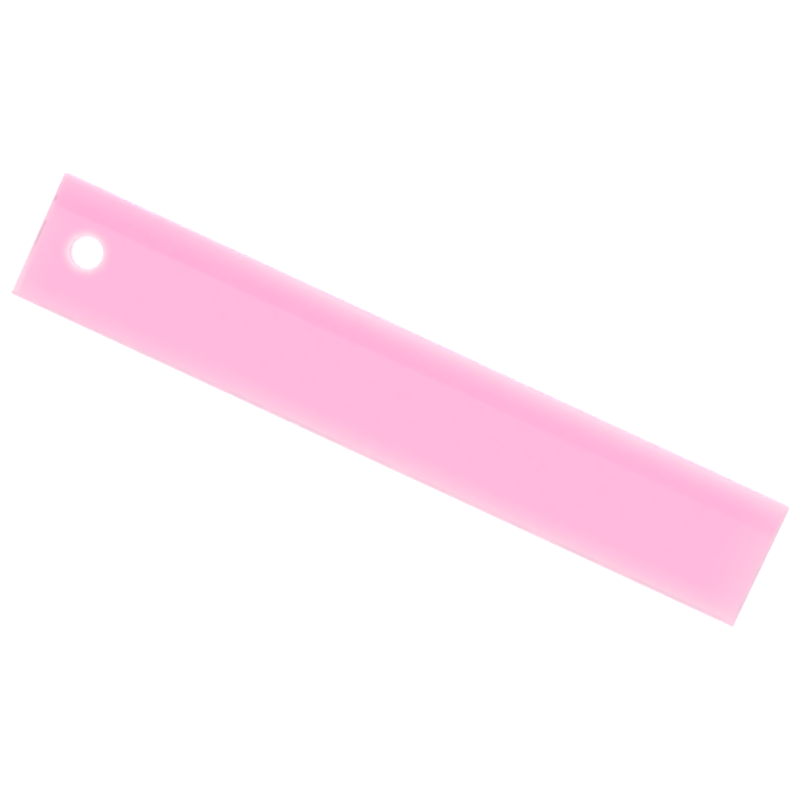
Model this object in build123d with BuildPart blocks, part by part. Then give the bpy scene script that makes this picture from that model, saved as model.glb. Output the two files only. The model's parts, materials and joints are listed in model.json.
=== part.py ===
from build123d import *
import os

# A slim lipped quilting ruler: a flat plastic blade with a seam-allowance lip cemented under one
# long edge. The lip's inner wall butts against a folded pattern, and the cutter runs along the
# outer edge, one lip width further out.
#
# Frame, in millimetres: the origin is the bottom centre of the ruler's box. +X runs along the
# ruler, away from the end with the hanging hole. +Y points to the cutting edge, over the lip.
# +Z is up, and the lip's foot lies at Z = 0.

INCH = 25.4

# Driving dimensions
ruler_length = 6 * INCH
ruler_width = 1 * INCH
blade_thickness = INCH / 8
lip_width = INCH / 4
lip_drop = INCH / 16  # from the blade's underside down to the lip's foot
cement_thickness = 0.1
cement_inset = 0.15  # the cement stops this far short of the joint's edges
hole_diameter = INCH / 4
hole_from_end = 10.0
hole_from_cutting_edge = 12.2
hole_deburr = 0.5
edge_break = 0.3
corner_radius = 0.4

# Places that follow from them
cutting_edge_y = ruler_width / 2
lip_centre_y = cutting_edge_y - lip_width / 2
lip_strip_thickness = lip_drop - cement_thickness
overall_height = lip_drop + blade_thickness
hole_x = hole_from_end - ruler_length / 2
hole_y = cutting_edge_y - hole_from_cutting_edge

os.makedirs("parts", exist_ok=True)


def cutting_side_corners(piece):
    """The upright corner edges at the two ends of the cutting edge."""
    return piece.edges().filter_by(Axis.Z).group_by(Axis.Y)[-1]


# Blade: the strip that the hand holds down, with its corners eased and both rims of every cut
# edge broken. The hanging hole is drilled through it and deburred on both faces.
with BuildPart() as blade:
    with BuildSketch(Plane.XY.offset(lip_drop)):
        Rectangle(ruler_length, ruler_width)
    extrude(amount=blade_thickness)
    fillet(blade.edges().filter_by(Axis.Z), radius=corner_radius)
    top_rim = blade.faces().sort_by(Axis.Z)[-1].edges()
    bottom_rim = blade.faces().sort_by(Axis.Z)[0].edges()
    chamfer(top_rim + bottom_rim, length=edge_break)
    with Locations((hole_x, hole_y, overall_height)):
        Hole(radius=hole_diameter / 2)
    chamfer(blade.edges().filter_by(GeomType.CIRCLE).sort_by(SortBy.RADIUS)[-2:], length=hole_deburr)

# Lip strip: a narrower strip of the same sheet stock, flush with the cutting edge and both ends.
with BuildPart() as lip_strip:
    with BuildSketch():
        with Locations((0, lip_centre_y)):
            Rectangle(ruler_length, lip_width)
    extrude(amount=lip_strip_thickness)
    fillet(cutting_side_corners(lip_strip), radius=corner_radius)
    chamfer(lip_strip.faces().sort_by(Axis.Z)[0].edges(), length=edge_break)

# Cement: the thin cured layer that holds the lip under the blade. It stops just short of the
# joint's edges, so a hairline groove shows all round.
with BuildPart() as cement_film:
    with BuildSketch(Plane.XY.offset(lip_strip_thickness)):
        with Locations((0, lip_centre_y)):
            Rectangle(ruler_length - 2 * cement_inset, lip_width - 2 * cement_inset)
    extrude(amount=cement_thickness)
    fillet(cutting_side_corners(cement_film), radius=corner_radius)

blade.part.label = "blade"
export_step(blade.part, "parts/blade.step")

lip_strip.part.label = "lip_strip"
export_step(lip_strip.part, "parts/lip_strip.step")

cement_film.part.label = "cement_film"
export_step(cement_film.part, "parts/cement_film.step")
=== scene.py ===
import json
import math
from types import SimpleNamespace

import bmesh
import bpy
import numpy as np
from mathutils import Matrix, Vector, noise


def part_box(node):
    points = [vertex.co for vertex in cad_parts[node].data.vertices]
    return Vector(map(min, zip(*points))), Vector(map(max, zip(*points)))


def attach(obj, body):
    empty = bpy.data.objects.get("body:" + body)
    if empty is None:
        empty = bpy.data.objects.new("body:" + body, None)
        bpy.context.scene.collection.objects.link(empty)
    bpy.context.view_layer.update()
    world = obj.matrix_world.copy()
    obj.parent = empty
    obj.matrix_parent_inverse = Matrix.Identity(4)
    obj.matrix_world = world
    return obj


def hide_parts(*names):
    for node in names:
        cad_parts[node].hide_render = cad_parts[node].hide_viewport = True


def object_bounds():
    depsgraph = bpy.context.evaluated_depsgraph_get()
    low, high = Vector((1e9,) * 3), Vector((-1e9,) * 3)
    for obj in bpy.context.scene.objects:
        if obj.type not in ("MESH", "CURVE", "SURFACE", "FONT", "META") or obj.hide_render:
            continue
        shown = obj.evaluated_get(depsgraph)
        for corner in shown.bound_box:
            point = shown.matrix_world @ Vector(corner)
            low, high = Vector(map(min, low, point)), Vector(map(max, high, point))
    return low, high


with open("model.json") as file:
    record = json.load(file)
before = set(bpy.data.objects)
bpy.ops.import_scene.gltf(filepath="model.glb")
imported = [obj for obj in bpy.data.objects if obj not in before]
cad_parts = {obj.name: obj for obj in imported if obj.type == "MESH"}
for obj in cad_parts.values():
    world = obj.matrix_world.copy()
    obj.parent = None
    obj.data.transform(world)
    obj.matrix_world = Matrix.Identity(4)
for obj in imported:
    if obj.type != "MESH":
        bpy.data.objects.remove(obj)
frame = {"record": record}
cad_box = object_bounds()

# A slim pink lipped ruler, lying lip down on a pale table. +X runs along it, away from the end with
# the hanging hole, +Y points to the cutting edge over the lip, and +Z is up. All sizes are in metres.

MM = 0.001

# Places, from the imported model
blade_low, blade_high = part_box("blade")
lip_low, lip_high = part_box("lip_strip")
cement_low, cement_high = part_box("cement_film")
mounts = {mount["name"]: mount for mount in frame["record"]["mounts"]}
hole_x, hole_y = mounts["hang_hole"]["pos_m"][:2]
hole_radius = mounts["hang_hole"]["dims"]["r_mm"] * MM
hole_wall = mounts["hang_hole"]["dims"]["length_mm"] * MM
hole_rounding = (blade_high.z - blade_low.z - hole_wall) / 2
lip_width = lip_high.y - lip_low.y

# Shapes of the plastic's edges and of the marks that the tools left on them
BLADE_ROUNDING = 0.3 * MM
LIP_ROUNDING = 0.2 * MM
CEMENT_ROUNDING = 0.03 * MM
ROUNDING_ANGLES = [math.radians(a) for a in (0, 11, 22.5, 34, 45)]
SAW_PITCH = 0.9 * MM
SAW_DEPTH = 0.03 * MM
SAW_LEAN = 0.12  # how far the saw's ridges lean from upright, as a slope
CUTTER_PITCH = 1.3 * MM
CUTTER_DEPTH = 0.012 * MM
DRILL_PITCH = 0.45 * MM
DRILL_DEPTH = 0.012 * MM
CEMENT_RUN_PITCH = 5 * MM
CEMENT_RUN = 0.1 * MM

# Where each piece starts in the noise that makes its marks uneven
BLADE_SEED = 2.0
LIP_SEED = 11.0
CEMENT_SEED = 4.0
CUTTER_SEED_STEP = 3.0
HEIGHT_SEED_STEP = 7.0

# How uneven those marks are: over how many pitches their spacing and their height change, how many
# pitches they drift, and their usual height and how much it varies, as shares of their depth
DRIFT_PITCHES = 6
HEIGHT_PITCHES = 2.3
DRIFT = 1.5
USUAL_HEIGHT = 0.65
HEIGHT_CHANGE = 0.6

# Steps of the meshes
SUPPORT_STEP = 0.07 * MM  # a line just inside each rounded rim keeps the flats flat in the shading
ALONG_STEP = 0.6 * MM
ACROSS_STEP = 0.3 * MM
DEPTH_STEP = 0.4 * MM
HOLE_PATCH = 5.4 * MM  # half the side of the square of mesh around the hole
PATCH_SHARES = (0, 0.03, 0.12, 0.3, 0.55, 0.78, 1)  # rings from the hole's rim out to that square
RIM_STEPS = 8
BORE_STEPS = 14
WELD_GRID = 1e8  # points that fall on the same spot of this grid, in 1/m, are one corner
GRID_SLACK = 0.0001 * MM  # for telling which of the grid's lines cross the square
BORE_SLACK = 0.02 * MM  # for telling which points lie on the hole's wall

# Small chips that the saw broke out of the top rim at the end with the hole: how far each is from
# the cutting edge, and its size. Each is a bite by an ellipsoid whose centre lies a share of the
# size out from the end and up from the top.
CHIP_OUT = 0.35
CHIP_UP = 0.3
CHIP_SHAPE = (1.0, 1.35, 0.8)
CHIPS = [
    (5.4 * MM, 0.3 * MM),
    (10.3 * MM, 0.5 * MM),
    (11.1 * MM, 0.32 * MM),
    (13.6 * MM, 0.26 * MM),
    (16.4 * MM, 0.3 * MM),
]


# ---------------------------------------------------------------------------------------- meshes


def grid_lines(low, high, rounding, step, through=()):
    """Coordinates from low to high: close together over the two rounded rims, then about one step
    apart, and passing through the given values."""
    bend = [rounding * math.tan(a) for a in ROUNDING_ANGLES]
    flat_low = low + rounding + SUPPORT_STEP
    flat_high = high - rounding - SUPPORT_STEP
    stops = [flat_low, *sorted(through), flat_high]
    lines = [low + rounding - b for b in reversed(bend)]
    for start, stop in zip(stops, stops[1:]):
        count = max(1, round((stop - start) / step))
        lines += [start + (stop - start) * i / count for i in range(count)]
    lines.append(flat_high)
    lines += [high - rounding + b for b in bend]
    return lines


class Shell:
    """A closed surface that is built up from sheets of quads, welded where their corners meet."""

    def __init__(self):
        self.bm = bmesh.new()
        self.known = {}

    def corner(self, point):
        """The one vertex at a point."""
        key = tuple(round(c * WELD_GRID) for c in point)
        if key not in self.known:
            self.known[key] = self.bm.verts.new(point)
        return self.known[key]

    def sheet(self, rows, skip=None):
        """Quads between the points of each row and the next, except those that skip(i, j) names."""
        verts = [[self.corner(p) for p in row] for row in rows]
        for i in range(len(verts) - 1):
            for j in range(len(verts[i]) - 1):
                if skip and skip(i, j):
                    continue
                self.bm.faces.new((verts[i][j], verts[i][j + 1], verts[i + 1][j + 1], verts[i + 1][j]))

    def finish(self, name, change=None):
        """Turns the shell into an object. change(points, normals) gives each vertex its last place."""
        bmesh.ops.recalc_face_normals(self.bm, faces=self.bm.faces)
        if change:
            self.bm.normal_update()
            points = np.array([v.co for v in self.bm.verts])
            normals = np.array([v.normal for v in self.bm.verts])
            for vert, point in zip(self.bm.verts, change(points, normals)):
                vert.co = point
        for face in self.bm.faces:
            face.smooth = True
        mesh = bpy.data.meshes.new(name)
        self.bm.to_mesh(mesh)
        self.bm.free()
        piece = bpy.data.objects.new(name, mesh)
        bpy.context.scene.collection.objects.link(piece)
        return piece


def rounded(point, low, high, rounding):
    """Where a point on a sharp box goes when the box's edges and corners are rounded."""
    inner = Vector(max(a + rounding, min(b - rounding, c)) for a, b, c in zip(low, high, point))
    return inner + rounding * (Vector(point) - inner).normalized()


def slab(low, high, rounding, hole=None):
    """A slab with rounded edges as a shell, with a hole drilled through it where one is given."""
    through_x, through_y = (), ()
    if hole:
        through_x = (hole.x - hole.patch, hole.x + hole.patch)
        through_y = (hole.y - hole.patch, hole.y + hole.patch)
    xs = grid_lines(low.x, high.x, rounding, ALONG_STEP, through_x)
    ys = grid_lines(low.y, high.y, rounding, ACROSS_STEP, through_y)
    zs = grid_lines(low.z, high.z, rounding, DEPTH_STEP)
    shell = Shell()

    def place(x, y, z):
        return rounded((x, y, z), low, high, rounding)

    def in_patch(i, j):
        x = (xs[i] + xs[i + 1]) / 2
        y = (ys[j] + ys[j + 1]) / 2
        return abs(x - hole.x) < hole.patch and abs(y - hole.y) < hole.patch

    for z in (low.z, high.z):
        shell.sheet([[place(x, y, z) for y in ys] for x in xs], in_patch if hole else None)
    for y in (low.y, high.y):
        shell.sheet([[place(x, y, z) for z in zs] for x in xs])
    for x in (low.x, high.x):
        shell.sheet([[place(x, y, z) for z in zs] for y in ys])
    if hole:
        patch_xs = [x for x in xs if abs(x - hole.x) < hole.patch + GRID_SLACK]
        patch_ys = [y for y in ys if abs(y - hole.y) < hole.patch + GRID_SLACK]
        drill(shell, hole, patch_xs, patch_ys, low.z, high.z)
    return shell


def drill(shell, hole, xs, ys, low_z, high_z):
    """The flat rings around a through hole, out to the square of mesh it sits in, and its wall."""
    radius, rim = hole.radius, hole.rounding
    square = [(x, ys[0]) for x in xs[:-1]]
    square += [(xs[-1], y) for y in ys[:-1]]
    square += [(x, ys[-1]) for x in reversed(xs[1:])]
    square += [(xs[0], y) for y in reversed(ys[1:])]
    square.append(square[0])
    angles = [math.atan2(y - hole.y, x - hole.x) for x, y in square]

    def ring(at, z):
        return [(hole.x + at * math.cos(a), hole.y + at * math.sin(a), z) for a in angles]

    for z in (low_z, high_z):
        inner = ring(radius + rim, z)
        rings = [
            [(p[0] + (s[0] - p[0]) * share, p[1] + (s[1] - p[1]) * share, z) for p, s in zip(inner, square)]
            for share in PATCH_SHARES
        ]
        shell.sheet(rings)
    turns = [i * math.pi / 2 / RIM_STEPS for i in range(RIM_STEPS + 1)]
    low_wall = low_z + rim
    high_wall = high_z - rim
    profile = [(radius + rim - rim * math.sin(t), low_wall - rim * math.cos(t)) for t in turns]
    wall = high_wall - low_wall
    profile += [(radius, low_wall + wall * i / BORE_STEPS) for i in range(1, BORE_STEPS)]
    profile += [(radius + rim - rim * math.sin(t), high_wall + rim * math.cos(t)) for t in reversed(turns)]
    shell.sheet([ring(at, z) for at, z in profile])


def ripple(along, pitch, seed):
    """Ridges that a tool leaves, from 0 to about 1, a pitch apart but never quite even."""
    drift_pitch = DRIFT_PITCHES * pitch
    height_pitch = HEIGHT_PITCHES * pitch
    height_seed = seed + HEIGHT_SEED_STEP
    drift = np.array([noise.noise(Vector((a / drift_pitch, seed, 0.0))) for a in along])
    height = np.array([noise.noise(Vector((a / height_pitch, height_seed, 0.0))) for a in along])
    turns = along / pitch + DRIFT * drift
    return (0.5 + 0.5 * np.sin(2 * math.pi * turns)) * (USUAL_HEIGHT + HEIGHT_CHANGE * height)


def tooled(points, normals, seed):
    """Saw marks on the two cut ends and finer cutter marks on the two long edges, cut inwards."""
    on_end = np.abs(normals[:, 0]) ** 2
    on_side = np.abs(normals[:, 1]) ** 2
    saw = SAW_DEPTH * on_end * ripple(points[:, 1] + SAW_LEAN * points[:, 2], SAW_PITCH, seed)
    cutter = CUTTER_DEPTH * on_side * ripple(points[:, 0], CUTTER_PITCH, seed + CUTTER_SEED_STEP)
    return points - normals * (saw + cutter)[:, None]


def chipped(points):
    """Bites out of the top rim of the end with the hole."""
    for distance, size in CHIPS:
        end = blade_low.x - CHIP_OUT * size
        top = blade_high.z + CHIP_UP * size
        centre = np.array((end, blade_high.y - distance, top))
        reach = size * np.array(CHIP_SHAPE)
        offset = (points - centre) / reach
        length = np.linalg.norm(offset, axis=1)
        bitten = length < 1
        pushed = centre + reach * offset[bitten] / length[bitten][:, None]
        pushed[:, 1] = points[bitten, 1]
        points[bitten] = pushed
    return points


def drilled(points, normals):
    """The fine helix that the drill leaves on the hole's wall."""
    offset = points[:, :2] - np.array((hole_x, hole_y))
    radius = np.linalg.norm(offset, axis=1)
    on_wall = (radius < hole_radius + BORE_SLACK).astype(float)
    turn = np.arctan2(offset[:, 1], offset[:, 0]) / (2 * math.pi)
    ridge = 0.5 + 0.5 * np.sin(2 * math.pi * (points[:, 2] / DRILL_PITCH + turn))
    return points - normals * (DRILL_DEPTH * on_wall * ridge)[:, None]


def make_blade():
    """The long flat strip, with the hanging hole, tool marks on its cut edges and a chipped end."""
    hole = SimpleNamespace(
        x=hole_x, y=hole_y, radius=hole_radius, rounding=hole_rounding, patch=HOLE_PATCH
    )
    shell = slab(blade_low, blade_high, BLADE_ROUNDING, hole)

    def change(points, normals):
        return chipped(tooled(drilled(points, normals), normals, BLADE_SEED))

    return shell.finish("ruler_blade", change)


def make_lip():
    """The narrow strip under the cutting edge."""
    shell = slab(lip_low, lip_high, LIP_ROUNDING)
    return shell.finish("ruler_lip", lambda points, normals: tooled(points, normals, LIP_SEED))


def make_cement():
    """The thin set layer between the two strips. Its outline wanders, because the cement ran."""
    shell = slab(cement_low, cement_high, CEMENT_ROUNDING)
    middle_y = (cement_low.y + cement_high.y) / 2

    def change(points, normals):
        places = [Vector((x / CEMENT_RUN_PITCH, CEMENT_SEED, 0.0)) for x in points[:, 0]]
        run = np.array([noise.noise(place) for place in places])
        side = (points[:, 1] - middle_y) / (cement_high.y - middle_y)
        points[:, 1] -= CEMENT_RUN * (0.5 + run) * np.sign(side) * side**8
        return points

    return shell.finish("ruler_cement", change)


# ------------------------------------------------------------------------------------- materials


class Recipe:
    """A node material under construction, with short ways to add the nodes it is made of."""

    def __init__(self, name):
        self.material = bpy.data.materials.new(name)
        self.material.use_nodes = True
        self.tree = self.material.node_tree
        self.shader = self.tree.nodes["Principled BSDF"]
        self.coordinates = self.tree.nodes.new("ShaderNodeTexCoord")
        self.x, self.y = self.split(self.coordinates.outputs["Object"])[:2]
        self.facing_x, self.facing_y, self.facing_z = self.split(self.coordinates.outputs["Normal"])

    def link(self, output, socket):
        self.tree.links.new(output, socket)

    def split(self, vector):
        """A vector's X, Y and Z."""
        node = self.tree.nodes.new("ShaderNodeSeparateXYZ")
        self.link(vector, node.inputs[0])
        return node.outputs

    def feed(self, value, socket):
        """Sets a socket to a number, or links it to another node's output."""
        if isinstance(value, bpy.types.NodeSocket):
            self.link(value, socket)
        else:
            socket.default_value = value

    def combine(self, operation, *values, clamp=False):
        """The result of one step of arithmetic, such as SUBTRACT or MAXIMUM."""
        node = self.tree.nodes.new("ShaderNodeMath")
        node.operation = operation
        node.use_clamp = clamp
        for value, socket in zip(values, node.inputs):
            self.feed(value, socket)
        return node.outputs[0]

    def span(self, value, low, high, out_low=0.0, out_high=1.0):
        """Takes value from the range low..high to out_low..out_high, and holds it there outside."""
        node = self.tree.nodes.new("ShaderNodeMapRange")
        node.interpolation_type = "SMOOTHSTEP"
        for socket, given in zip(node.inputs, (value, low, high, out_low, out_high)):
            self.feed(given, socket)
        return node.outputs[0]

    def level(self):
        """1 where the surface lies flat, up or down, and 0 where it is a wall."""
        return self.combine("ABSOLUTE", self.facing_z)

    def times(self, *values):
        """The product of the values."""
        result = values[0]
        for value in values[1:]:
            result = self.combine("MULTIPLY", result, value)
        return result

    def fade(self, distance, reach, strength):
        """strength at no distance, falling to nothing at reach, faster at first."""
        near = self.combine("DIVIDE", distance, reach, clamp=True)
        left = self.combine("SUBTRACT", 1.0, near)
        return self.times(left, left, strength)

    def mix(self, share, first, second):
        """The first colour where share is 0, and the second where it is 1."""
        node = self.tree.nodes.new("ShaderNodeMix")
        node.data_type = "RGBA"
        self.feed(share, node.inputs["Factor"])
        for value, socket in zip((first, second), (node.inputs[6], node.inputs[7])):
            self.feed(value, socket)
        return node.outputs[2]

    def mapped(self, scale, turn=0.0):
        """The object's coordinates, turned about Z and scaled, so textures keep their real size."""
        node = self.tree.nodes.new("ShaderNodeMapping")
        node.inputs["Scale"].default_value = scale
        node.inputs["Rotation"].default_value = (0.0, 0.0, turn)
        self.link(self.coordinates.outputs["Object"], node.inputs["Vector"])
        return node.outputs[0]

    def noise(self, vector, detail):
        """Soft random values about 0.5, one grain for each step of 1 in the vector."""
        node = self.tree.nodes.new("ShaderNodeTexNoise")
        node.inputs["Scale"].default_value = 1.0
        node.inputs["Detail"].default_value = detail
        self.link(vector, node.inputs["Vector"])
        return node.outputs["Fac"]

    def bump(self, height, distance, normal=None):
        """The normal of a surface that rises by height times distance, over an earlier normal."""
        node = self.tree.nodes.new("ShaderNodeBump")
        node.inputs["Strength"].default_value = 1.0
        node.inputs["Distance"].default_value = distance
        self.link(height, node.inputs["Height"])
        if normal:
            self.link(normal, node.inputs["Normal"])
        return node.outputs[0]


def rgb(red, green, blue):
    """An opaque colour."""
    return (red, green, blue, 1.0)


BODY_PINK = rgb(0.94, 0.44, 0.645)
# The lip's own pink, also painted on the blade over the lip as painted shade
LIP_PINK = rgb(0.93, 0.395, 0.618)
# Painted light: the pink of the painted glow along the cutting edge and of painted rim highlights
LIT_PINK = rgb(0.95, 0.66, 0.75)
# Painted light: the pink of the painted glow towards the edges
EDGE_GLOW_PINK = rgb(0.95, 0.61, 0.695)
WALL_PINK = rgb(0.93, 0.43, 0.62)
STREAK_PINK = rgb(0.94, 0.5, 0.67)
# Painted light: the hole's wall, painted paler
LIT_BORE_PINK = rgb(0.99, 0.66, 0.77)
# Painted light: the paler pink of the walls along the cutting edge
LIT_WALL_PINK = rgb(0.96, 0.7, 0.79)
# Painted light: the palest pink, of painted glow at the edges and of painted rim highlights
PALEST_LIGHT_PINK = rgb(0.97, 0.8, 0.86)
# Painted shade: the greyish line just inside the top rims
RIM_SHADE_PINK = rgb(0.76, 0.53, 0.63)
MARK_PINK = rgb(0.6, 0.38, 0.47)
CEMENT_PINK = rgb(0.9, 0.45, 0.6)
BUBBLE_PINK = rgb(0.97, 0.8, 0.86)
TABLE_GREY = rgb(0.83, 0.83, 0.83)
GRAIN_GREY = rgb(0.86, 0.86, 0.86)
WHITE = rgb(1.0, 1.0, 1.0)

# Where the painted shade over the lip gives way to the blade's pink, from the cutting edge, and how
# much of it is left at the far end
LIP_LINE = (lip_width - 0.45 * MM, lip_width + 0.4 * MM)
LIP_DEPTH_FAR = 0.55

# How far the paler pink of painted light reaches in from each edge and from the hole, and how strong
# it is there (over 1, it is whole for a stretch before it fades). The end with the hole also has a
# narrow, stronger strip beside its sawn wall.
CUTTING_REACH = 5.3 * MM
NEAR_REACH = 6.0 * MM
SAWN_REACH = 1.8 * MM
HOLE_END_REACH = 8.0 * MM
HOLE_END_SHARE = 0.3
FAR_END_REACH = 11.0 * MM
FAR_END_SHARE = 0.55
HOLE_REACH = 2.1 * MM
HOLE_SHARE = 1.6

# The palest strips of painted light, along the cutting edge, at the far end, and at the corner away from
# the lip
PALE_REACH = 1.2 * MM
PALE_END_SHARE = 0.2
PALE_CORNER_REACH = 1.9 * MM

# The stretches over which the strength of these changes, and how strong each is where its stretch
# starts and ends: along the ruler, from the end with the hole, for the cutting edge and the edge
# away from the lip
CUTTING_STRETCH = (15 * MM, 60 * MM)
CUTTING_STRENGTH = (0.5, 0.92)
PALE_CUTTING_STRENGTH = (0.35, 0.1)
NEAR_STRETCH = (20 * MM, 70 * MM)
NEAR_STRENGTH = (0.6, 1.0)

# and across it, from the cutting edge, for both ends, for the strip beside the sawn wall, and for
# the palest corner
ENDS_STRETCH = (0.7 * lip_width, 1.6 * lip_width)
ENDS_STRENGTH = (0.45, 1.0)
SAWN_STRETCH = (4 * MM, 24 * MM)
SAWN_STRENGTH = (0.6, 1.5)
CORNER_STRETCH = (13 * MM, 22 * MM)
CORNER_STRENGTH = (0.05, 0.75)

# Where the painted shade line and the darker spots start and end, from the edge they are beside, and
# where the line starts on the two ends, from the cutting edge
BAND_START = (0.15 * MM, 0.4 * MM)
BAND_END = (0.65 * MM, 0.95 * MM)
LINE_START = (0.4 * MM, 1.0 * MM)
HOLE_END_LINE_SHARE = 0.5

# How far beyond its wall the hole's paler colour, which is painted light, ends
BORE_END = (0.5 * MM, 0.9 * MM)

# How level the surface is, 1 on the flats and 0 on a wall, where each of these begins and where it
# is complete
RIM_LEVELS = (0.99, 0.85)
WALL_LEVELS = (0.65, 0.25)
LIP_WALL_LEVELS = (0.75, 0.35)
CUT_LEVELS = (0.98, 0.8)
BORE_LEVELS = (0.97, 0.8)
GLOW_LEVELS = (0.9, 0.3)

# How squarely the surface faces outwards, or up, where each of these begins and is complete
RIM_FACING = (0.15, 0.5)
LIT_WALL_FACING = (0.5, 0.9)
UPPER_FACING = (0.2, 0.5)

# How much the rim away from the lip counts as facing outwards, and how much of the body's pink
# there is in the rim along the cutting edge
NEAR_RIM_SHARE = 0.5
CUTTING_RIM_SHARE = 0.7

# Darker spots beside the top rim of the end with the hole: how far the middle of each is from the
# cutting edge, half its length, and how dark it is
MARKS = [
    (5.1 * MM, 0.7 * MM, 0.75),
    (10.6 * MM, 0.9 * MM, 0.75),
    (13.2 * MM, 2.4 * MM, 0.65),
    (16.0 * MM, 1.9 * MM, 0.25),
]

# How far the paler pink of painted light reaches in on the lip, and how strong it is at the cutting
# edge and at the fence
LIP_REACH = 3 * MM
LIP_CUTTING_STRENGTH = 0.8
LIP_FENCE_STRENGTH = 0.6

# How far each strip's wall along the cutting edge goes towards its paler colour of painted light
BLADE_WALL_LIGHT = 0.45
LIP_WALL_LIGHT = 0.3

# How brightly the cut walls, the hole's wall and the table shine. The walls' and the hole's glow is
# painted light: emission that stands for the light such sheet gathers and lets out at its walls.
WALL_GLOW = 0.06
BORE_GLOW = 0.11
TABLE_GLOW = 0.35

# How far light travels inside the plastic before it leaves again, in all and by colour
SOFTNESS = 0.5
SOFT_REACH = 1.5 * MM
SOFT_SPREAD = (1.0, 0.35, 0.5)

PLASTIC_IOR = 1.49
GLOSS_ROUGHNESS = (0.14, 0.2)
SAWN_ROUGHNESS = 0.38
SCRATCH_ROUGHNESS = 0.15
CEMENT_ROUGHNESS = 0.15
TABLE_ROUGHNESS = 0.9
TABLE_SHINE = 0.1
WAVE_HEIGHT = 0.035 * MM
SCRATCH_DEPTH = 0.006 * MM
FROST_HEIGHT = 0.015 * MM
BUBBLE_HEIGHT = 0.02 * MM

# How fine each texture is along X, Y and Z, in cycles per metre
SAWN_GRAIN = (1400.0, 1400.0, 500.0)
SAWN_STREAKS = (1600.0, 1600.0, 120.0)
SCRATCH_PATCHES = (40.0, 70.0, 40.0)
GLOSS_CLOUDS = (90.0, 160.0, 90.0)
SHEET_WAVES = (30.0, 120.0, 60.0)
RIM_PATCHES = (260.0, 260.0, 260.0)
MARK_SPECKLE = (900.0, 900.0, 900.0)
CEMENT_BUBBLES = (2500.0, 2500.0, 2500.0)
TABLE_GRAIN = (600.0, 600.0, 600.0)


def scratches(recipe, turn, length, width, sparseness):
    """A mask of fine straight scratches that run one way, length by width in size."""
    streaks = recipe.noise(recipe.mapped((1 / length, 1 / width, 1 / length), turn), detail=1.0)
    lines = recipe.span(streaks, sparseness, sparseness + 0.05)
    patches = recipe.noise(recipe.mapped(SCRATCH_PATCHES, turn), detail=1.0)
    return recipe.times(lines, recipe.span(patches, 0.45, 0.65))


def plastic(name, tone):
    """Cast pink plastic: clear gloss with faint sheet waves, fine scratches from use, and walls
    that are frosted by the saw. tone(recipe, walls) gives its colour."""
    recipe = Recipe(name)
    inputs = recipe.shader.inputs
    cut = recipe.span(recipe.level(), *CUT_LEVELS)
    grain = recipe.noise(recipe.mapped(SAWN_GRAIN), detail=3.0)
    frosting = recipe.times(cut, recipe.span(grain, 0.2, 0.8, 0.75, 1.0))
    streaks = recipe.noise(recipe.mapped(SAWN_STREAKS), detail=2.0)
    walls = recipe.mix(recipe.span(streaks, 0.35, 0.75), WALL_PINK, STREAK_PINK)
    recipe.link(tone(recipe, walls), inputs["Base Color"])

    short_scratches = scratches(recipe, turn=0.5, length=9 * MM, width=0.12 * MM, sparseness=0.68)
    long_scratches = scratches(recipe, turn=-0.2, length=14 * MM, width=0.1 * MM, sparseness=0.7)
    worn = recipe.combine("MAXIMUM", short_scratches, long_scratches)
    clouds = recipe.noise(recipe.mapped(GLOSS_CLOUDS), detail=3.0)
    gloss = recipe.span(clouds, 0.3, 0.7, *GLOSS_ROUGHNESS)
    scuffed = recipe.combine("ADD", gloss, recipe.times(worn, SCRATCH_ROUGHNESS))
    roughness = recipe.combine("MAXIMUM", scuffed, recipe.times(cut, SAWN_ROUGHNESS))
    recipe.link(roughness, inputs["Roughness"])

    waves = recipe.bump(recipe.noise(recipe.mapped(SHEET_WAVES), detail=1.0), WAVE_HEIGHT)
    marks = recipe.bump(worn, -SCRATCH_DEPTH, normal=waves)
    recipe.link(recipe.bump(frosting, FROST_HEIGHT, normal=marks), inputs["Normal"])
    inputs["IOR"].default_value = PLASTIC_IOR
    inputs["Subsurface Weight"].default_value = SOFTNESS
    inputs["Subsurface Radius"].default_value = SOFT_SPREAD
    inputs["Subsurface Scale"].default_value = SOFT_REACH
    return recipe.material


def joined(recipe, fades):
    """How light a spot is that several fades reach, each of them working on what the last left."""
    dark = 1.0
    for fade in fades:
        dark = recipe.times(dark, recipe.combine("SUBTRACT", 1.0, fade, clamp=True))
    return recipe.combine("SUBTRACT", 1.0, dark, clamp=True)


def blade_distances(recipe):
    """How far a spot of the blade is from each of its edges and from the hole's wall."""
    across = recipe.combine("SUBTRACT", recipe.x, hole_x)
    up = recipe.combine("SUBTRACT", recipe.y, hole_y)
    square = recipe.combine("ADD", recipe.times(across, across), recipe.times(up, up))
    return SimpleNamespace(
        cutting=recipe.combine("SUBTRACT", blade_high.y, recipe.y),
        near=recipe.combine("SUBTRACT", recipe.y, blade_low.y),
        hole_end=recipe.combine("SUBTRACT", recipe.x, blade_low.x),
        far_end=recipe.combine("SUBTRACT", blade_high.x, recipe.x),
        hole=recipe.combine("SUBTRACT", recipe.combine("SQRT", square), hole_radius),
    )


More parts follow.
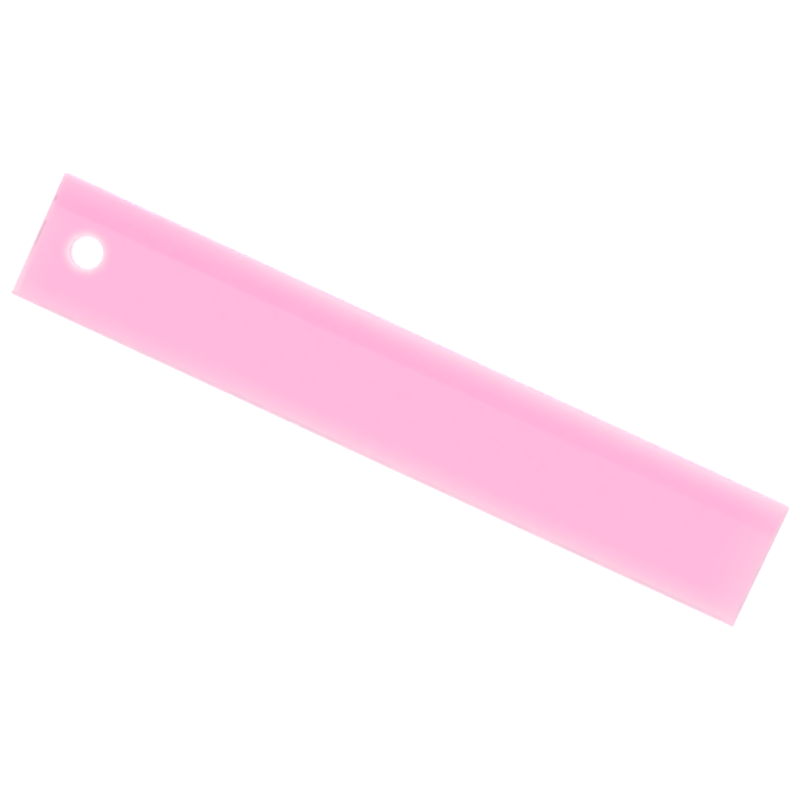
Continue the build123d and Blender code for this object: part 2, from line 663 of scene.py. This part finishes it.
def face_tone(recipe, off):
    """The flat faces, with painted shade and light: painted deeper where the lip backs the blade, and
    painted paler towards every edge and the hole, for light that enters the cut edges and runs along inside
    the sheet."""
    # Painted shade: the blade is painted deeper where the lip lies under it
    backed_shade = recipe.span(off.cutting, *LIP_LINE, 1.0, 0.0)
    evenness = recipe.span(recipe.x, blade_low.x, blade_high.x, 1.0, LIP_DEPTH_FAR)
    flat = recipe.mix(recipe.times(backed_shade, evenness), BODY_PINK, LIP_PINK)
    at_cutting = recipe.span(off.hole_end, *CUTTING_STRETCH, *CUTTING_STRENGTH)
    lit = recipe.mix(recipe.fade(off.cutting, CUTTING_REACH, at_cutting), flat, LIT_PINK)

    unbacked = recipe.span(off.cutting, *ENDS_STRETCH, *ENDS_STRENGTH)
    at_near = recipe.span(off.hole_end, *NEAR_STRETCH, *NEAR_STRENGTH)
    at_end = recipe.span(off.cutting, *SAWN_STRETCH, *SAWN_STRENGTH)
    glow = joined(recipe, [
        recipe.fade(off.near, NEAR_REACH, at_near),
        recipe.fade(off.hole_end, SAWN_REACH, at_end),
        recipe.fade(off.hole_end, HOLE_END_REACH, recipe.times(unbacked, HOLE_END_SHARE)),
        recipe.fade(off.far_end, FAR_END_REACH, recipe.times(unbacked, FAR_END_SHARE)),
        recipe.fade(off.hole, HOLE_REACH, HOLE_SHARE),
    ])
    pale_at_cutting = recipe.span(off.hole_end, *CUTTING_STRETCH, *PALE_CUTTING_STRENGTH)
    pale_at_corner = recipe.span(off.cutting, *CORNER_STRETCH, *CORNER_STRENGTH)
    pale = joined(recipe, [
        recipe.fade(off.cutting, PALE_REACH, pale_at_cutting),
        recipe.fade(off.hole_end, PALE_CORNER_REACH, pale_at_corner),
        recipe.fade(off.far_end, PALE_REACH, PALE_END_SHARE),
    ])
    return recipe.mix(pale, recipe.mix(glow, lit, EDGE_GLOW_PINK), PALEST_LIGHT_PINK)


def rim_highlight_tone(recipe):
    """Painted highlights on the rounded rims: palest at the two ends, less so on the edge away from
    the lip, and close to the body's pink along the cutting edge."""
    facing_end = recipe.combine("ABSOLUTE", recipe.facing_x)
    facing_near = recipe.combine("MULTIPLY", recipe.facing_y, -NEAR_RIM_SHARE)
    outward = recipe.combine("MAXIMUM", facing_end, facing_near)
    rim = recipe.mix(recipe.span(outward, *RIM_FACING), LIT_PINK, PALEST_LIGHT_PINK)
    at_cutting = recipe.span(recipe.facing_y, *RIM_FACING, 0.0, CUTTING_RIM_SHARE)
    return recipe.mix(at_cutting, rim, BODY_PINK)


def lit_walls(recipe, walls, share):
    """The walls' colour, with the walls along the cutting edge painted paler by a share, as painted light.
    """
    wall_light = recipe.span(recipe.facing_y, *LIT_WALL_FACING, 0.0, share)
    return recipe.mix(wall_light, walls, LIT_WALL_PINK)


def beside(recipe, distance):
    """A band on the top face, just inside an edge."""
    return recipe.times(recipe.span(distance, *BAND_START), recipe.span(distance, *BAND_END, 1.0, 0.0))


def shade_lined(recipe, off, upper, tone):
    """A tone with a painted shade line, greyish, just inside the top rims, except at the cutting edge."""
    patches = recipe.noise(recipe.mapped(RIM_PATCHES), detail=2.0)
    patchy = recipe.span(patches, 0.3, 0.65, 0.45, 1.0)
    shade_line = recipe.combine("MAXIMUM", beside(recipe, off.near), beside(recipe, off.far_end))
    at_hole_end = recipe.times(beside(recipe, off.hole_end), HOLE_END_LINE_SHARE)
    shade_line = recipe.combine("MAXIMUM", shade_line, at_hole_end)
    inside = recipe.span(off.cutting, *LINE_START)
    return recipe.mix(recipe.times(shade_line, upper, patchy, inside), tone, RIM_SHADE_PINK)


def dark_spotted(recipe, off, upper, tone):
    """A tone with darker spots beside the top rim of the end with the hole."""
    dark = 0.0
    for distance, half, strength in MARKS:
        offset = recipe.combine("ABSOLUTE", recipe.combine("SUBTRACT", off.cutting, distance))
        mark = recipe.span(offset, 0.5 * half, 1.1 * half, strength, 0.0)
        dark = recipe.combine("MAXIMUM", dark, mark)
    specks = recipe.noise(recipe.mapped(MARK_SPECKLE), detail=2.0)
    speckle = recipe.span(specks, 0.35, 0.6, 0.6, 1.0)
    return recipe.mix(recipe.times(dark, beside(recipe, off.hole_end), upper, speckle), tone, MARK_PINK)


def blade_tone(recipe, walls):
    """The blade's colour, from its flat faces over its rims to its walls and the hole's wall, with
    painted light and shade, and a painted glow on the walls and the hole's wall.
    """
    off = blade_distances(recipe)
    level = recipe.level()
    rimmed = recipe.mix(recipe.span(level, *RIM_LEVELS), face_tone(recipe, off), rim_highlight_tone(recipe))
    cut_walls = lit_walls(recipe, walls, BLADE_WALL_LIGHT)
    walled = recipe.mix(recipe.span(level, *WALL_LEVELS), rimmed, cut_walls)
    in_bore = recipe.span(off.hole, *BORE_END, recipe.span(level, *BORE_LEVELS), 0.0)
    bored = recipe.mix(in_bore, walled, LIT_BORE_PINK)

    # Painted glow: the cut walls, and the hole's wall more, give off light as emission, though they are no
    # lamp
    wall_glow = recipe.span(level, *GLOW_LEVELS, 0.0, WALL_GLOW)
    glow = recipe.span(in_bore, 0.0, 1.0, wall_glow, BORE_GLOW)
    recipe.link(glow, recipe.shader.inputs["Emission Strength"])
    recipe.link(bored, recipe.shader.inputs["Emission Color"])

    upper = recipe.span(recipe.facing_z, *UPPER_FACING)
    return dark_spotted(recipe, off, upper, shade_lined(recipe, off, upper, bored))


def lip_tone(recipe, walls):
    """The lip strip's colour, with painted light making it paler towards its two long edges."""
    from_cutting = recipe.combine("SUBTRACT", lip_high.y, recipe.y)
    from_fence = recipe.combine("SUBTRACT", recipe.y, lip_low.y)
    fades = [
        recipe.fade(from_cutting, LIP_REACH, LIP_CUTTING_STRENGTH),
        recipe.fade(from_fence, LIP_REACH, LIP_FENCE_STRENGTH),
    ]
    face = recipe.mix(joined(recipe, fades), LIP_PINK, EDGE_GLOW_PINK)
    on_walls = recipe.span(recipe.level(), *LIP_WALL_LEVELS)
    return recipe.mix(on_walls, face, lit_walls(recipe, walls, LIP_WALL_LIGHT))


def cement_material():
    """Clear set cement with a faint pink cast and fine bubbles."""
    recipe = Recipe("set_cement")
    inputs = recipe.shader.inputs
    bubbles = recipe.noise(recipe.mapped(CEMENT_BUBBLES), detail=1.0)
    tone = recipe.mix(recipe.span(bubbles, 0.5, 0.65), CEMENT_PINK, BUBBLE_PINK)
    recipe.link(tone, inputs["Base Color"])
    recipe.link(recipe.bump(bubbles, BUBBLE_HEIGHT), inputs["Normal"])
    inputs["Roughness"].default_value = CEMENT_ROUGHNESS
    inputs["IOR"].default_value = PLASTIC_IOR
    return recipe.material


def floor_material():
    """A pale matte table with a very faint paper grain, lit a little from below like a light table."""
    recipe = Recipe("pale_table")
    inputs = recipe.shader.inputs
    grain = recipe.noise(recipe.mapped(TABLE_GRAIN), detail=4.0)
    recipe.link(recipe.mix(recipe.span(grain, 0.3, 0.7), TABLE_GREY, GRAIN_GREY), inputs["Base Color"])
    inputs["Roughness"].default_value = TABLE_ROUGHNESS
    inputs["Specular IOR Level"].default_value = TABLE_SHINE
    inputs["Emission Color"].default_value = WHITE
    inputs["Emission Strength"].default_value = TABLE_GLOW
    return recipe.material


# ------------------------------------------------------------------- table, light and camera

TABLE_RADIUS = 8.0
TABLE_GAP = 0.01 * MM  # keeps the table clear of the lip's foot

SKY_LIGHT = 0.5
HORIZON_LIGHT = 1.0
HORIZON_HEIGHTS = (0.08, 0.3)  # how high the horizon's light ends and the sky's begins, as a sine
# Soft windows low in the room, which show only as a sheen on the plastic: the direction of each
WINDOWS = [(-0.64, 0.64, 0.42), (0.68, -0.68, 0.26)]
WINDOW_LIGHT = 0.3
WINDOW_EDGE = math.cos(math.radians(9))
WINDOW_MIDDLE = math.cos(math.radians(3))
KEY_LIGHT = 2.08
KEY_WIDTH = math.radians(40)
KEY_DIRECTION = (-0.005, 0.083, 1.0)

# The camera's place and the point it looks at, from the middle of the blade's top face
CAMERA_PLACE = Vector((-2.2, 41.5, 494.4)) * MM
CAMERA_TARGET = Vector((-0.02, 0.13, 0.0)) * MM
CAMERA_TURN = math.radians(24.906)
CAMERA_LENS = 117.0
CAMERA_SENSOR = 36.0
CAMERA_CLIP = (0.05, 20.0)


def make_table():
    """A wide round pale table top, just under the lip's foot."""
    bm = bmesh.new()
    bmesh.ops.create_circle(bm, cap_ends=True, segments=96, radius=TABLE_RADIUS)
    mesh = bpy.data.meshes.new("table")
    bm.to_mesh(mesh)
    bm.free()
    table = bpy.data.objects.new("table", mesh)
    table.location.z = cad_box[0].z - TABLE_GAP
    table.data.materials.append(floor_material())
    bpy.context.scene.collection.objects.link(table)


def make_light():
    """A pale room, brightest along its horizon, with soft windows, under a broad overhead light."""
    world = bpy.data.worlds.new("studio")
    world.use_nodes = True
    nodes, links = world.node_tree.nodes, world.node_tree.links

    def ramp(value, low, high, out_low, out_high):
        node = nodes.new("ShaderNodeMapRange")
        node.interpolation_type = "SMOOTHSTEP"
        for socket, given in zip(list(node.inputs)[1:5], (low, high, out_low, out_high)):
            socket.default_value = given
        links.new(value, node.inputs[0])
        return node.outputs[0]

    direction = nodes.new("ShaderNodeTexCoord").outputs["Generated"]
    split = nodes.new("ShaderNodeSeparateXYZ")
    links.new(direction, split.inputs[0])
    strength = ramp(split.outputs["Z"], *HORIZON_HEIGHTS, HORIZON_LIGHT, SKY_LIGHT)
    for window in WINDOWS:
        towards = nodes.new("ShaderNodeVectorMath")
        towards.operation = "DOT_PRODUCT"
        links.new(direction, towards.inputs[0])
        towards.inputs[1].default_value = Vector(window).normalized()
        glow = ramp(towards.outputs["Value"], WINDOW_EDGE, WINDOW_MIDDLE, 0, WINDOW_LIGHT)
        both = nodes.new("ShaderNodeMath")
        links.new(strength, both.inputs[0])
        links.new(glow, both.inputs[1])
        strength = both.outputs[0]
    links.new(strength, nodes["Background"].inputs["Strength"])
    nodes["Background"].inputs["Color"].default_value = WHITE
    bpy.context.scene.world = world
    key = bpy.data.lights.new("overhead", "SUN")
    key.energy = KEY_LIGHT
    key.angle = KEY_WIDTH
    lamp = bpy.data.objects.new("overhead", key)
    lamp.rotation_euler = Vector(KEY_DIRECTION).to_track_quat("Z", "Y").to_euler()
    lamp.visible_glossy = False  # the room alone shows in the plastic's gloss
    bpy.context.scene.collection.objects.link(lamp)


def make_camera():
    """A long lens looking down on the ruler from over its cutting edge, turned so that the ruler
    lies across the picture's diagonal."""
    top = Vector((0, 0, blade_high.z))
    place = CAMERA_PLACE + top
    back = (place - CAMERA_TARGET - top).normalized()
    right = Vector((math.cos(CAMERA_TURN), math.sin(CAMERA_TURN), 0.0))
    right = (right - back * right.dot(back)).normalized()
    up = back.cross(right)
    data = bpy.data.cameras.new("camera")
    data.lens = CAMERA_LENS
    data.sensor_width = CAMERA_SENSOR
    data.clip_start, data.clip_end = CAMERA_CLIP
    camera = bpy.data.objects.new("camera", data)
    camera.matrix_world = Matrix.Translation(place) @ Matrix((right, up, back)).transposed().to_4x4()
    bpy.context.scene.collection.objects.link(camera)
    bpy.context.scene.camera = camera


# --------------------------------------------------------------------------------- the whole scene

for piece, node, material in (
    (make_blade(), "blade", plastic("blade_plastic", blade_tone)),
    (make_lip(), "lip_strip", plastic("lip_plastic", lip_tone)),
    (make_cement(), "cement_film", cement_material()),
):
    piece.data.materials.append(material)
    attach(piece, "root")
    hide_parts(node)

make_table()
make_light()
make_camera()
bpy.context.scene.view_settings.view_transform = "Standard"
